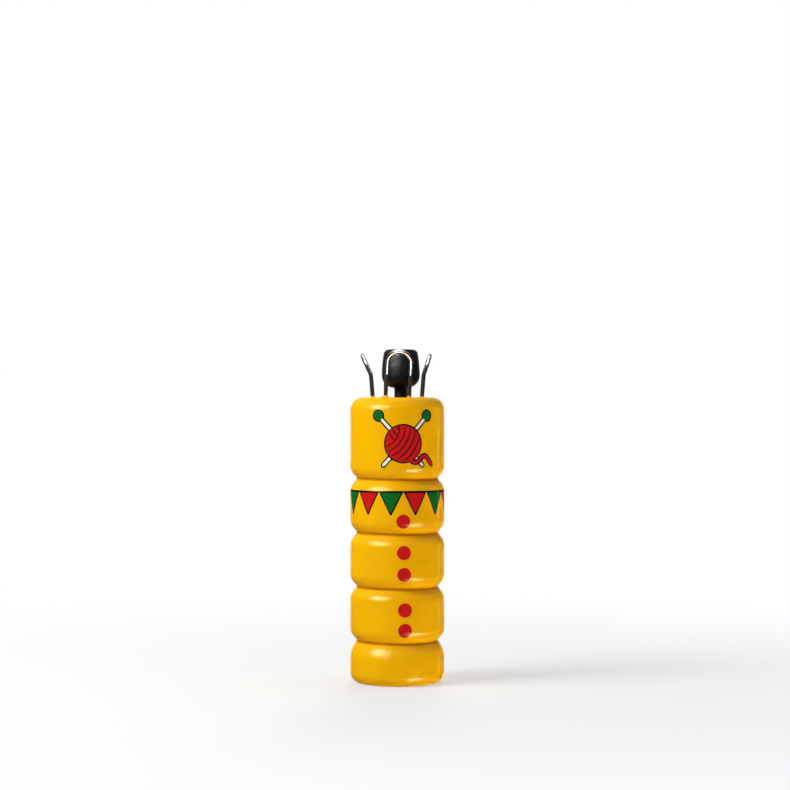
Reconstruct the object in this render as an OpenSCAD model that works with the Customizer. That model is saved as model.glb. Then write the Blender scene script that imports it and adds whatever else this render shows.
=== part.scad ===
// Knitting nancy: a turned and painted wooden body with a bore right through it, four wire hooks
// standing round the bore's upper mouth, and a loose pick that is kept in the bore.
// Millimetres, +Z up, -Y to the front. The origin is the middle of the foot's flat underside.

/* [Body] */
// Diameter of the body over its beads
body_d = 30; // [26:0.5:36]
// Height of the head, the tallest bead
head_h = 25.7; // [20:0.1:32]
// Height of each bead between the head and the foot
band_h = 17.1; // [12:0.1:24]
// Number of beads between the head and the foot
band_count = 3; // [1:1:5]
// Height of the foot, the lowest bead
foot_h = 13.3; // [10:0.1:20]
// Radius of the rounded edge of the head's top
top_edge_r = 4; // [2.8:0.1:4.8]
// Radius of the rounded shoulders between the beads' walls and the flanks of the grooves
shoulder_r = 4.2; // [2.4:0.1:5]
// Radius of the foot's upper shoulder, which is rounder
foot_shoulder_r = 8; // [4.5:0.1:8.4]
// Radius of the edge that the foot stands on
foot_rim_r = 3.2; // [1.5:0.1:4]
// Depth of the grooves between the beads
groove_depth = 2.1; // [1.6:0.05:2.4]
// Angle between the flanks of the grooves and the body's axis, in degrees
flank_angle = 41; // [34:1:45]
// Width of the flat at the bottom of a groove
groove_flat = 0.2; // [0.1:0.1:1]
// Diameter of the bore that the knitted cord runs down
bore_d = 11; // [8:0.5:12]
// Width of the bevel round both mouths of the bore
mouth_bevel = 0.8; // [0.2:0.1:1.4]

/* [Hooks] */
// Diameter of the hooks' wire
wire_d = 1.3; // [1:0.1:1.8]
// Distance between a hook's two legs, centre to centre
hook_span = 7.4; // [5.5:0.1:8.5]
// Distance from the body's axis to the plane of a hook's legs
hook_ring_r = 7.8; // [7:0.1:8.5]
// Length of the legs from the head up to their bend
bend_h = 7.1; // [5:0.1:10]
// Radius of that bend, on the wire's centreline
bend_r = 2.5; // [1.5:0.1:3.5]
// Depth to which the legs are driven into the head
hook_sink = 12; // [6:0.5:18]
// Length of the point at the foot of each leg
leg_point = 1.2; // [0.4:0.1:2]
// Diameter of the flat at the end of that point
leg_point_d = 0.5; // [0.3:0.1:0.8]
// Radial clearance of a leg in its drilled hole
leg_fit = 0.02; // [0.01:0.01:0.05]
// How much thinner than the straight wire the bent wire is, in radius
bend_thinning = 0.01; // [0.005:0.005:0.03]
// Length of the front hook beyond its bend
tip_front = 8.5; // [6.2:0.1:10]
// Length of the left hook beyond its bend
tip_left = 7.4; // [6.2:0.1:10]
// Length of the back hook beyond its bend
tip_back = 7.4; // [6.2:0.1:10]
// Length of the right hook beyond its bend
tip_right = 7.1; // [6.2:0.1:10]
// Outward lean of the front hook, in degrees
lean_angle_front = 22; // [10:0.5:30]
// Outward lean of the left hook, in degrees
lean_angle_left = 24; // [10:0.5:30]
// Outward lean of the back hook, in degrees
lean_angle_back = 22; // [10:0.5:30]
// Outward lean of the right hook, in degrees
lean_angle_right = 18; // [10:0.5:30]
// Outward splay of all the legs below their bend, in degrees
splay_angle = 4.5; // [0:0.5:8]
// Sideways tilt of the front hook, to its right, in degrees
tilt_angle_front = 3; // [-4:0.5:4]

/* [Pick] */
// Largest diameter of the knob
knob_d = 12; // [10:0.5:13.5]
// Height of the knob
knob_h = 12.2; // [9:0.1:15]
// Diameter over the rounded edge of the knob's top
knob_top_d = 10.8; // [9:0.1:12]
// Radius of the rounded edge of the knob's top
knob_edge_r = 1.6; // [0.8:0.1:2.5]
// Diameter of the neck under the knob
neck_d = 4; // [3.6:0.1:5]
// Length of the neck below the knob
neck_l = 8.5; // [5:0.5:14]
// Length of the taper at the neck's lower end
neck_taper = 1.5; // [0.5:0.1:3]
// Diameter of the steel needle
needle_d = 2.5; // [1.8:0.1:2.8]
// Depth of the needle's seat in the neck and knob
needle_seat = 13; // [8:0.5:16]
// Radial clearance of the needle in its seat
needle_fit = 0.02; // [0.01:0.01:0.05]
// Length of the needle's tapered point
point_l = 14; // [6:0.5:24]
// Diameter of the needle's blunt tip
tip_d = 1; // [0.6:0.1:1.6]
// Height of the knob's underside above the head
knob_lift = 3; // [1:0.1:6]
// Gap between the knob and the nearest leg of the two hooks that it stands between
pick_gap = 1; // [0.3:0.1:1.4]
// Height of the needle's tip above the surface that the body stands on
tip_gap = 0.3; // [0.2:0.05:1]

/* [Hidden] */
$fn = 96;
overlap = 0.01;

body_r = body_d / 2;
core_r = body_r - groove_depth;
bore_r = bore_d / 2;
body_h = foot_h + band_count * band_h + head_h;
// Heights of the grooves' middles, from below
grooves = [for (i = [0:band_count]) foot_h + i * band_h];

wire_r = wire_d / 2;
arch_r = hook_span / 2;
// Degrees by which a bend runs on inside the straight wire at each of its ends
bend_tail = 2;

knob_r = knob_d / 2;
neck_r = neck_d / 2;
needle_r = needle_d / 2;
knob_z = body_h + knob_lift;
// Distance from the body's axis to a hook's legs at the height of the knob's widest place
nest_r = hook_ring_r + (knob_lift + knob_r - neck_r) * tan(splay_angle);
// The pick stands off the axis, between the back hook and the right hook: on their diagonal,
// where the knob's side lies pick_gap away from the nearest leg of each
leg_reach = knob_r + wire_r + pick_gap;
leg_sum = arch_r + nest_r;
leg_square = pow(arch_r, 2) + pow(nest_r, 2);
pick_shift = (leg_sum - sqrt(pow(leg_sum, 2) - 2 * (leg_square - pow(leg_reach, 2)))) / 2;

// Angle through which a shoulder of radius r turns: to its flank, or only down to the core if that comes first
function shoulder_turn(r) = min(flank_angle, acos(1 - groove_depth / r));
// Length along the axis of that shoulder and of the flank that runs on from it down to the core
function shoulder_run(r) =
    let (turn = shoulder_turn(r))
    r * sin(turn) + (groove_depth - r * (1 - cos(turn))) / tan(turn);

// Outline of a bead's straight wall from z0 to z1
module wall(z0, z1) {
    translate([0, z0]) square([body_r, z1 - z0]);
}

// Outline of a round edge that runs on from a wall's end at z into a flat face. Way is 1 up and -1 down.
module round_edge(z, r, way) {
    translate([body_r - r, z]) circle(r);
    translate([0, min(z, z + way * r)]) square([body_r - r, r]);
}

// Outline of a shoulder that runs on from a wall's end at z, and of the flank that runs on from it and ends
// just inside the core. The flank starts a hair inside the shoulder, so that the two outlines cross.
// Way is 1 up and -1 down.
module shoulder(z, r, way) {
    turn = shoulder_turn(r);
    reach = r - overlap / 4;
    start = [body_r - r + reach * cos(turn), reach * sin(turn)];
    root = [core_r - overlap, shoulder_run(r) + overlap / tan(turn)];
    translate([0, z]) mirror([0, way < 0 ? 1 : 0]) {
        translate([body_r - r, 0]) circle(r);
        polygon([[0, -overlap], [body_r - r, -overlap], start, root, [0, root.y]]);
    }
}

// Outline of the body before it is bored: the foot, the beads and the head on a core
// that shows at the bottom of the grooves
module beads() {
    run = shoulder_run(shoulder_r) + groove_flat / 2;
    foot_end = foot_h - groove_flat / 2 - shoulder_run(foot_shoulder_r);
    head_end = body_h - top_edge_r;
    translate([0, foot_rim_r]) square([core_r, head_end - foot_rim_r]);
    round_edge(foot_rim_r, foot_rim_r, -1);
    wall(foot_rim_r, foot_end);
    shoulder(foot_end, foot_shoulder_r, 1);
    for (i = [0:band_count - 1]) {
        shoulder(grooves[i] + run, shoulder_r, -1);
        wall(grooves[i] + run, grooves[i + 1] - run);
        shoulder(grooves[i + 1] - run, shoulder_r, 1);
    }
    shoulder(grooves[band_count] + run, shoulder_r, -1);
    wall(grooves[band_count] + run, head_end);
    round_edge(head_end, top_edge_r, 1);
}

// Outline of the wall between the bore, with its bevelled mouths, and the outside
module bored_wall() {
    polygon([
        [bore_r, mouth_bevel],
        [bore_r + mouth_bevel, 0],
        [body_r, 0],
        [body_r, body_h],
        [bore_r + mouth_bevel, body_h],
        [bore_r, body_h - mouth_bevel],
    ]);
}

// Children in the place of one hook, with its legs along Z and its outside to -Y. Turn 0 is the front,
// and each further quarter turn goes on clockwise as seen from above.
module at_hook(turn, tilt = 0) {
    translate([0, 0, body_h]) rotate([0, 0, -90 * turn]) translate([0, -hook_ring_r, 0])
        rotate([splay_angle, tilt, 0]) children();
}

// The two drilled holes of one hook
module leg_holes() {
    for (side = [-1, 1])
        translate([side * arch_r, 0, -hook_sink]) cylinder(r = wire_r + leg_fit, h = hook_sink + wire_d);
}

// A bend in the wire, turning from +Y towards -X round the origin and running on a little at both ends
module wire_bend(radius, turn) {
    rotate([0, 0, -bend_tail]) rotate_extrude(angle = turn + 2 * bend_tail)
        translate([radius, 0]) circle(wire_r - bend_thinning);
}

// Outline of a leg, from its point up to its bend
module leg_outline(length) {
    polygon([
        [0, 0],
        [leg_point_d / 2, 0],
        [wire_r, leg_point],
        [wire_r, length],
        [0, length],
    ]);
}

// A hook of round wire: two pointed legs, a bend that leans them further outwards, and an arch over the top
module wire_hook(tip, lean_angle) {
    lean = lean_angle - splay_angle;
    bend_run = bend_r * tan(lean / 2);
    arch_z = tip - wire_r - arch_r;
    for (side = [-1, 1]) translate([side * arch_r, 0, 0]) {
        translate([0, 0, -hook_sink])
            rotate_extrude() leg_outline(hook_sink + bend_h - bend_run);
        translate([0, -bend_r, bend_h - bend_run]) rotate([90, 0, 90]) wire_bend(bend_r, lean);
    }
    translate([0, 0, bend_h]) rotate([lean, 0, 0]) {
        for (side = [-1, 1])
            translate([side * arch_r, 0, bend_run]) cylinder(r = wire_r, h = arch_z - bend_run);
        translate([0, 0, arch_z]) rotate([90, 0, 0]) wire_bend(arch_r, 180);
    }
}

// Outline of the knob above its neck: a deep round underside, a side that tapers to the top,
// and a rounded top edge. The side is the straight line that touches both arcs.
module knob_outline() {
    bowl_r = knob_r - neck_r;
    bowl = [neck_r, bowl_r];
    edge = [knob_top_d / 2 - knob_edge_r, knob_h - knob_edge_r];
    apart = edge - bowl;
    side_angle = atan2(apart.y, apart.x) - acos((bowl_r - knob_edge_r) / norm(apart));
    side = [cos(side_angle), sin(side_angle)];
    intersection() {
        square([knob_r, knob_h]);
        union() {
            translate(bowl) circle(bowl_r);
            translate(edge) circle(knob_edge_r);
            polygon([
                [0, 0],
                [neck_r, 0],
                bowl + bowl_r * side,
                edge + knob_edge_r * side,
                [edge.x, knob_h],
                [0, knob_h],
            ]);
        }
    }
}

// Children on the axis of the pick, with the knob's underside at z = 0
module on_pick() {
    translate([pick_shift, pick_shift, knob_z]) children();
}

// The turned body: a stack of beads with a bore through it and the hooks' drilled holes
module turned_body() {
    color("#f5b800") difference() {
        rotate_extrude() intersection() {
            beads();
            bored_wall();
        }
        at_hook(0, tilt_angle_front) leg_holes();
        for (turn = [1:3]) at_hook(turn) leg_holes();
    }
}

module hook_front() {
    color("#c9c5bf") at_hook(0, tilt_angle_front) wire_hook(tip_front, lean_angle_front);
}

module hook_left() {
    color("#c9c5bf") at_hook(1) wire_hook(tip_left, lean_angle_left);
}

module hook_back() {
    color("#c9c5bf") at_hook(2) wire_hook(tip_back, lean_angle_back);
}

module hook_right() {
    color("#c9c5bf") at_hook(3) wire_hook(tip_right, lean_angle_right);
}

// The pick's moulded knob and neck, with a blind seat for the needle
module pick_knob() {
    seat_depth = needle_seat - neck_l;
    color("#1d1d20") on_pick() difference() {
        union() {
            rotate_extrude() knob_outline();
            translate([0, 0, neck_taper - neck_l]) cylinder(r = neck_r, h = neck_l - neck_taper + overlap);
            translate([0, 0, -neck_l])
                cylinder(r1 = (neck_r + needle_r) / 2, r2 = neck_r, h = neck_taper);
        }
        translate([0, 0, -neck_l - overlap])
            cylinder(r = needle_r + needle_fit, h = neck_l + seat_depth + overlap);
    }
}

// The pick's steel needle: a straight shaft with a tapered, blunt point
module pick_needle() {
    tip_r = tip_d / 2;
    foot_z = tip_gap - knob_z + tip_r;
    color("#d0d0d2") on_pick() {
        translate([0, 0, foot_z + point_l])
            cylinder(r = needle_r, h = needle_seat - neck_l - foot_z - point_l);
        translate([0, 0, foot_z]) cylinder(r1 = tip_r, r2 = needle_r, h = point_l);
        translate([0, 0, foot_z]) sphere(tip_r);
    }
}

turned_body();
hook_front();
hook_left();
hook_back();
hook_right();
pick_knob();
pick_needle();
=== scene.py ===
"""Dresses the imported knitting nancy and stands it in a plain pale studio.

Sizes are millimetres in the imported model's frame, with +Z up the body's axis from the foot and -Y to the
front hook. Meshes, finishes and lamps are in metres.
"""

import logging
import math
from collections.abc import Sequence
from dataclasses import dataclass, field
from enum import Enum

import bpy
import numpy as np
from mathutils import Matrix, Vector


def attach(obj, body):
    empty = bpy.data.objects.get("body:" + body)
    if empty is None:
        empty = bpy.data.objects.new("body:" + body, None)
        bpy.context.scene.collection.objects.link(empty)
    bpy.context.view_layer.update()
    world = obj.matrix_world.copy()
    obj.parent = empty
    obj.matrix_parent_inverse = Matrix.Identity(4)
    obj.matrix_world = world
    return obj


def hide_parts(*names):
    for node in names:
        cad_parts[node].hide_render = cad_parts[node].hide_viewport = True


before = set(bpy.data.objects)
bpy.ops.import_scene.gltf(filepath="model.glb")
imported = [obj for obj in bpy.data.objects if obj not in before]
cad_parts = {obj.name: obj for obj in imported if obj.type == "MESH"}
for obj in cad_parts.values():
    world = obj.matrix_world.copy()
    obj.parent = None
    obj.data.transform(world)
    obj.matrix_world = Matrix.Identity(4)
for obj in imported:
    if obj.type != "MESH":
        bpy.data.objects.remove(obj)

MM = 0.001
QUARTER = math.pi / 2
LEAST_STEP = 0.001
FADE_KEEPS = 0.392
LOG = logging.getLogger("nancy")
Colour = tuple[float, float, float]
Place = tuple[float, float]
Range = tuple[float, float]
Values = dict[str, np.ndarray]
Socket = bpy.types.NodeSocket
Input = Socket | float | Sequence[float]
Inputs = dict[str | int, Input]
Material = bpy.types.Material
Piece = bpy.types.Object
WHITE = (1.0, 1.0, 1.0)
WARM = (1.0, 0.88, 0.52)
MILD = (1.02, 0.955, 0.93)
COOL = (0.98, 1.025, 1.0)
UPRIGHT = (1, 1, 0.05)  # draws noise out twenty times along the axis
MIDDLE = (0.3, 0.7)  # the range that noise mostly keeps to


class Rides(Enum):
    """The jointed bodies that a piece can move with."""

    NANCY = "nancy"
    PICK = "pick"


class Slot(Enum):
    """The record's material slots."""

    LACQUER = "yellow_lacquer"
    WIRE = "hook_wire"
    PLASTIC = "knob_plastic"
    STEEL = "needle_steel"


class Ink(Enum):
    """The print's inks, by the names of their materials."""

    RED = "ink_red"
    GREEN = "ink_green"
    BLACK = "ink_black"
    WHITE = "ink_white"


class Lit(Enum):
    """What a lamp lights."""

    ALL = "all"
    WOOD = "wood"
    HOOKS = "hooks"
    KNOB = "knob"
    NEEDLE = "needle"


# ---------------------------------------------------------------- surfaces


@dataclass
class Surface:
    """A closed mesh as arrays.

    Attributes:
        points: One row of x, y, z in millimetres for each point.
        quads: One row of four point numbers for each four-sided face.
        triangles: One row of three point numbers for each three-sided face.
        values: Named arrays with a number or a vector for each point, read by the finishes.
    """

    points: np.ndarray
    quads: np.ndarray
    triangles: np.ndarray
    values: Values = field(default_factory=dict)

    def turned_outwards(self) -> "Surface":
        """Turns the faces outwards, where the sum of their tetrahedra to the origin is positive.

        Returns:
            The surface.
        """
        cut = np.concatenate([self.quads[:, [0, 1, 2]], self.quads[:, [0, 2, 3]], self.triangles])
        a, b, c = (self.points[cut[:, k]] for k in range(3))
        if np.einsum("ij,ij->", a, np.cross(b, c)) >= 0:
            return self
        return Surface(self.points, self.quads[:, ::-1], self.triangles[:, ::-1], self.values)


def full_turn(count: int) -> np.ndarray:
    """Returns a number of even angles once round."""
    return np.linspace(0, 2 * math.pi, count, endpoint=False)


def on_circle(middle: Sequence[float], radius: float, angle: np.ndarray) -> np.ndarray:
    """Returns a circle's points at some angles: the middle plus the radius times cosine and sine."""
    return np.stack([middle[0] + radius * np.cos(angle), middle[1] + radius * np.sin(angle)], -1)


def lengths_along(line: np.ndarray) -> np.ndarray:
    """Returns the length from a polyline's start to each of its points."""
    return np.concatenate([[0], np.cumsum(np.linalg.norm(np.diff(line, axis=0), axis=1))])


def taken_at(line: np.ndarray, wanted: np.ndarray) -> np.ndarray:
    """Returns a polyline's points at the wanted lengths from its start."""
    at = lengths_along(line)
    return np.stack([np.interp(wanted, at, column) for column in line.T], -1)


def resampled(line: np.ndarray, spacing: float) -> np.ndarray:
    """Adds points to a polyline so that no two are further apart than the spacing.

    Args:
        line: Points as rows of coordinates.
        spacing: The longest step in millimetres.

    Returns:
        The polyline with its own points and the added ones.
    """
    at = lengths_along(line)
    wanted = np.unique(np.concatenate([at, np.linspace(0, at[-1], int(at[-1] / spacing) + 2)]))
    return taken_at(line, wanted[np.concatenate([[True], np.diff(wanted) > LEAST_STEP])])


def softened_corners(corners: np.ndarray, reach: Sequence[float], steps: int = 6) -> np.ndarray:
    """Rounds the inner corners of an open polyline.

    Each corner becomes a quadratic curve that leaves the one side at its reach before the corner and joins
    the other side at the same reach after it, with the corner as its control point.

    Args:
        corners: The polyline's points as r, z.
        reach: The reach of each inner corner.
        steps: Points on each curve.

    Returns:
        The rounded polyline's points.
    """
    corner = corners[1:-1]
    sides = (corners[:-2] - corner, corners[2:] - corner)
    away = [side / np.linalg.norm(side, axis=1, keepdims=True) for side in sides]
    start, end = ((corner + d * np.array(reach)[:, None])[:, None] for d in away)
    t = np.linspace(0, 1, steps)[None, :, None]
    curve = (1 - t) ** 2 * start + 2 * t * (1 - t) * corner[:, None] + t**2 * end
    return np.concatenate([corners[:1], curve.reshape(-1, 2), corners[-1:]])


def revolved(radius: np.ndarray, height: np.ndarray, angle: np.ndarray) -> np.ndarray:
    """Turns a profile about the Z axis: x = r sin a, y = -r cos a, so angle 0 is the front.

    Args:
        radius: Radii, one for each ring, or rings by points.
        height: Heights in the same shape.
        angle: The angle of each point of a ring in radians.

    Returns:
        Points as rings by points by x, y, z.
    """
    radius, height = (v if v.ndim == 2 else v[:, None] for v in (radius, height))
    return np.stack(np.broadcast_arrays(radius * np.sin(angle), -radius * np.cos(angle), height), -1)


def flow_along(angle: np.ndarray, length: np.ndarray, rate: float) -> Values:
    """Returns a bar's flow value: the angle's cosine and sine, and the length along it times a rate."""
    return {"flow": np.stack(np.broadcast_arrays(np.cos(angle), np.sin(angle), rate * length[:, None]), -1)}


def closed_rings(rings: np.ndarray, loop: bool = False, values: Values | None = None) -> Surface:
    """Skins a stack of closed rings.

    Point j of ring i joins point j + 1 of its ring and point j of ring i + 1. In a loop the last ring joins
    the first. Otherwise the first and the last ring each close onto a pole at the mean of their points.

    Args:
        rings: Points as rings by points by x, y, z.
        loop: True where the stack itself closes, as on a torus.
        values: Named arrays as rings by points, or rings by points by three.

    Returns:
        The closed surface with its faces outwards.
    """
    rows, columns = rings.shape[:2]
    i = np.arange(rows if loop else rows - 1)[:, None] * columns
    j = np.arange(columns)
    after, beside = (i + columns) % (rows * columns), (j + 1) % columns
    quads = np.stack([i + j, i + beside, after + beside, after + j], -1).reshape(-1, 4)
    points = rings.reshape(-1, 3)
    flat = {name: v.reshape(rows * columns, *v.shape[2:]) for name, v in (values or {}).items()}
    if loop:
        return Surface(points, quads, np.empty((0, 3), int), flat).turned_outwards()
    last, pole = (rows - 1) * columns, np.full(columns, rows * columns)
    fans = [np.stack([pole, beside, j], -1), np.stack([pole + 1, last + j, last + beside], -1)]
    points = np.concatenate([points, rings[[0, -1]].mean(axis=1)])
    flat = {name: np.concatenate([v, values[name][[0, -1]].mean(axis=1)]) for name, v in flat.items()}
    return Surface(points, quads, np.concatenate(fans), flat).turned_outwards()


def joined(parts: Sequence[Surface]) -> Surface:
    """Puts several closed surfaces into one.

    Args:
        parts: The surfaces, which all hold the same named values.

    Returns:
        One surface with every part's points and faces.
    """
    starts = np.cumsum([0] + [len(p.points) for p in parts[:-1]])
    return Surface(
        np.concatenate([p.points for p in parts]),
        np.concatenate([p.quads + s for p, s in zip(parts, starts)]),
        np.concatenate([p.triangles + s for p, s in zip(parts, starts)]),
        {name: np.concatenate([p.values[name] for p in parts]) for name in parts[0].values},
    )


def add_piece(
    name: str,
    surface: Surface,
    finishes: Sequence[Material],
    rides: Rides,
    stands_for: str | None = None,
    finish_of_quad: np.ndarray | None = None,
) -> Piece:
    """Makes a surface into a piece of the object, smooth shaded, with its place in its mesh.

    Args:
        name: The piece's name.
        surface: Its closed surface.
        finishes: Its materials.
        rides: The jointed body that it moves with.
        stands_for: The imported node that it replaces.
        finish_of_quad: The number of each quad's material, where there is more than one.

    Returns:
        The new object.
    """
    mesh = bpy.data.meshes.new(name)
    mesh.from_pydata((surface.points * MM).tolist(), [], surface.quads.tolist() + surface.triangles.tolist())
    mesh.polygons.foreach_set("use_smooth", np.ones(len(mesh.polygons), bool))
    for finish in finishes:
        mesh.materials.append(finish)
    if finish_of_quad is not None:
        mesh.polygons.foreach_set("material_index", finish_of_quad.astype(np.int32))
    for label, values in surface.values.items():
        kind, key = ("FLOAT_VECTOR", "vector") if values.ndim == 2 else ("FLOAT", "value")
        layer = mesh.attributes.new(label, kind, "POINT")
        layer.data.foreach_set(key, values.astype(np.float32).ravel())
    mesh.update()
    piece = bpy.data.objects.new(name, mesh)
    bpy.context.scene.collection.objects.link(piece)
    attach(piece, rides.value)
    if stands_for is not None:
        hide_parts(stands_for)
    LOG.info("%s: %d faces on %s", name, len(mesh.polygons), rides.value)
    return piece


# ---------------------------------------------------------------- finishes


class Bench:
    """Lays out the nodes of one material, lamp or world."""

    def __init__(self, owner: bpy.types.ID, shader: str) -> None:
        """Starts with the nodes that the owner gets by itself.

        Args:
            owner: The material, lamp or world.
            shader: The name of its shader's node.
        """
        owner.use_nodes = True
        self.owner, self.tree = owner, owner.node_tree
        self.shader = self.tree.nodes[shader]

    def feed(self, socket: Socket, value: Input) -> None:
        """Links another node's output into a socket, or sets the socket to a constant."""
        if isinstance(value, Socket):
            self.tree.links.new(value, socket)
        else:
            socket.default_value = value

    def set(self, **sockets: Input) -> None:
        """Feeds the shader's sockets, named with _ for a space."""
        for key, value in sockets.items():
            self.feed(self.shader.inputs[key.replace("_", " ")], value)

    def node(self, kind: str, inputs: Inputs | None = None, **settings: str) -> bpy.types.Node:
        """Adds a node.

        Args:
            kind: Its type, without the words that every shader node's type starts with.
            inputs: What goes into its sockets.
            settings: Its properties.

        Returns:
            The node.
        """
        made = self.tree.nodes.new(f"ShaderNode{kind}")
        for key, value in settings.items():
            setattr(made, key, value)
        for key, value in (inputs or {}).items():
            self.feed(made.inputs[key], value)
        return made

    def place(self, scale: Sequence[float] = (1, 1, 1)) -> Socket:
        """Returns the Object coordinates in metres, stretched by a scale on each axis."""
        place = self.node("TexCoord").outputs["Object"]
        return self.node("Mapping", {"Vector": place, "Scale": scale}).outputs["Vector"]

    def value_of(self, name: str) -> bpy.types.Node:
        """Returns the node that reads one of the mesh's own named values."""
        return self.node("Attribute", attribute_type="GEOMETRY", attribute_name=name)

    def height(self) -> Socket:
        """Returns the height above the foot in metres."""
        return self.node("SeparateXYZ", {0: self.place()}).outputs["Z"]

    def distance(self, at: Socket, middle: Sequence[float]) -> Socket:
        """Returns the distance from a middle."""
        return self.node("VectorMath", {0: at, 1: middle}, operation="DISTANCE").outputs["Value"]

    def noise(self, at: Socket, scale: float, detail: float = 2, rough: float = 0.5) -> Socket:
        """Returns cloudy noise from about 0 to 1 at a scale in features for each unit."""
        inputs = {"Vector": at, "Scale": scale, "Detail": detail, "Roughness": rough}
        return self.node("TexNoise", inputs).outputs[0]

    def grains(self, at: Socket, scale: float) -> Socket:
        """Returns the distance to the nearest of scattered grains, 0 at a grain."""
        return self.node("TexVoronoi", {"Vector": at, "Scale": scale}).outputs["Distance"]

    def span(self, value: Socket, low: float, high: float, to_low: float = 0, to_high: float = 1) -> Socket:
        """Maps a value smoothly from one range to another and holds it there."""
        inputs = {"Value": value, "From Min": low, "From Max": high, "To Min": to_low, "To Max": to_high}
        return self.node("MapRange", inputs, interpolation_type="SMOOTHSTEP").outputs["Result"]

    def math(self, operation: str, a: Socket, b: Socket | float) -> Socket:
        """Returns one arithmetic operation on two values."""
        return self.node("Math", {0: a, 1: b}, operation=operation).outputs[0]

    def mix(self, factor: Socket, first: Socket, second: Socket | float) -> Socket:
        """Returns the first value where the factor is 0 and the second where it is 1."""
        return self.node("Mix", {"Factor": factor, "A": first, "B": second}).outputs["Result"]

    def blend(self, factor: Socket, first: Socket | Colour, second: Socket | Colour) -> Socket:
        """Returns the first colour where the factor is 0 and the second where it is 1."""
        first, second = (v if isinstance(v, Socket) else (*v, 1) for v in (first, second))
        return self.node("Mix", {"Factor": factor, 6: first, 7: second}, data_type="RGBA").outputs[2]

    def bump(self, height: Socket, depth: float, under: Socket | None = None) -> Socket:
        """Returns the normal of a relief whose height 1 stands a depth in metres proud, on another's."""
        inputs = {"Distance": depth, "Height": height} | ({} if under is None else {"Normal": under})
        return self.node("Bump", inputs).outputs["Normal"]

    def seen(self) -> Socket:
        """Returns 1 for camera, glossy and transmission rays and 0 for the rays that light the object."""
        rays = self.node("LightPath").outputs
        sight = self.math("MAXIMUM", rays["Is Camera Ray"], rays["Is Glossy Ray"])
        return self.math("MAXIMUM", sight, rays["Is Transmission Ray"])


def shade(colour: Colour, by: float) -> Colour:
    """Returns a colour made lighter or darker by a factor."""
    return tuple(min(1.0, c * by) for c in colour)


class Finish:
    """A finish of the object. Scales are features for each metre, and depths are metres."""

    def make(self, name: str) -> Material:
        """Builds the finish's material.

        Args:
            name: The material's name.

        Returns:
            The material.
        """
        bench = Bench(bpy.data.materials.new(name), "Principled BSDF")
        self.dress(bench)
        return bench.owner

    def dress(self, bench: Bench) -> None:
        """Lays out the material's nodes, which each finish does in its own way."""
        raise NotImplementedError


@dataclass(frozen=True)
class GlossLacquer(Finish):
    """Thick gloss lacquer on turned wood: painted shade darkens the grooves, also standing for pooled
    lacquer, and it shows an orange peel.
    """

    colour: Colour = (0.915, 0.452, 0.0008)
    # painted shade for the bottoms of the grooves, also standing for lacquer pooled there
    pooled_and_shaded: Colour = (0.52, 0.19, 0.001)
    drift: Range = (0.97, 1.02)
    cloud_scale: float = 95
    roughness: float = 0.30
    gloss: float = 0.11
    coat: float = 0.5
    peel_scale: float = 620
    peel: float = 0.000035
    grain_scale: float = 2600
    grain: float = 0.000010
    nib_scale: float = 1500
    nib: float = 0.00006
    # painted glints: the pale colour of specks beside the foot's highlight, which also carry nib bumps
    dust_glint: Colour = (1.0, 0.82, 0.42)
    dust_glint_at: tuple[float, float, float] = (-0.0033, -0.0142, 0.0112)
    dust_glint_reach: Range = (0.001, 0.0040)
    dust_glint_cover: float = 0.65

    def dress(self, bench: Bench) -> None:
        """Lays out the nodes.

        The colour drifts by a few percent in clouds a centimetre wide, and painted shade darkens it towards
        the bottom of each groove, also standing for lacquer pooled there. The relief is millimetre peel,
        faint upright wood grain and a patch of nib bumps on the foot, whose tops are painted pale as glints
        beside the foot's highlight.

        Args:
            bench: The material's bench.
        """
        cloud = bench.span(bench.noise(bench.place(), self.cloud_scale, 3), *MIDDLE)
        groove = bench.value_of("groove").outputs["Fac"]
        patch = bench.span(bench.distance(bench.place(), self.dust_glint_at), *self.dust_glint_reach, self.dust_glint_cover, 0)
        # the speck mask gives real nib relief and, in colour, painted glints beside the foot's highlight
        nibs_and_glints = bench.span(bench.grains(bench.place(), self.nib_scale), 0.14, 0.30, 1, 0)
        nibs_and_glints = bench.math("MULTIPLY", nibs_and_glints, patch)
        coat = bench.blend(cloud, *(shade(self.colour, by) for by in self.drift))
        # painted glints: pale specks in the lacquer colour in a patch beside the foot's highlight
        coat = bench.blend(nibs_and_glints, coat, self.dust_glint)
        relief = bench.bump(bench.noise(bench.place(), self.peel_scale), self.peel)
        relief = bench.bump(bench.noise(bench.place(UPRIGHT), self.grain_scale, 3), self.grain, relief)
        relief = bench.bump(nibs_and_glints, self.nib, relief)
        bench.set(
            # painted shade: the colour turns darker and more orange towards the bottom of each groove, partly
            # pooled lacquer
            Base_Color=bench.blend(bench.span(groove, 0.72, 1.0), coat, self.pooled_and_shaded),
            Roughness=bench.span(cloud, 0, 1, self.roughness - 0.04, self.roughness + 0.04),
            Specular_IOR_Level=0.0,
            Coat_Weight=bench.span(groove, 0.80, 0.95, self.coat, 0.05),
            Coat_Roughness=self.gloss,
            Normal=relief,
            Coat_Normal=relief,
        )


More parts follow.
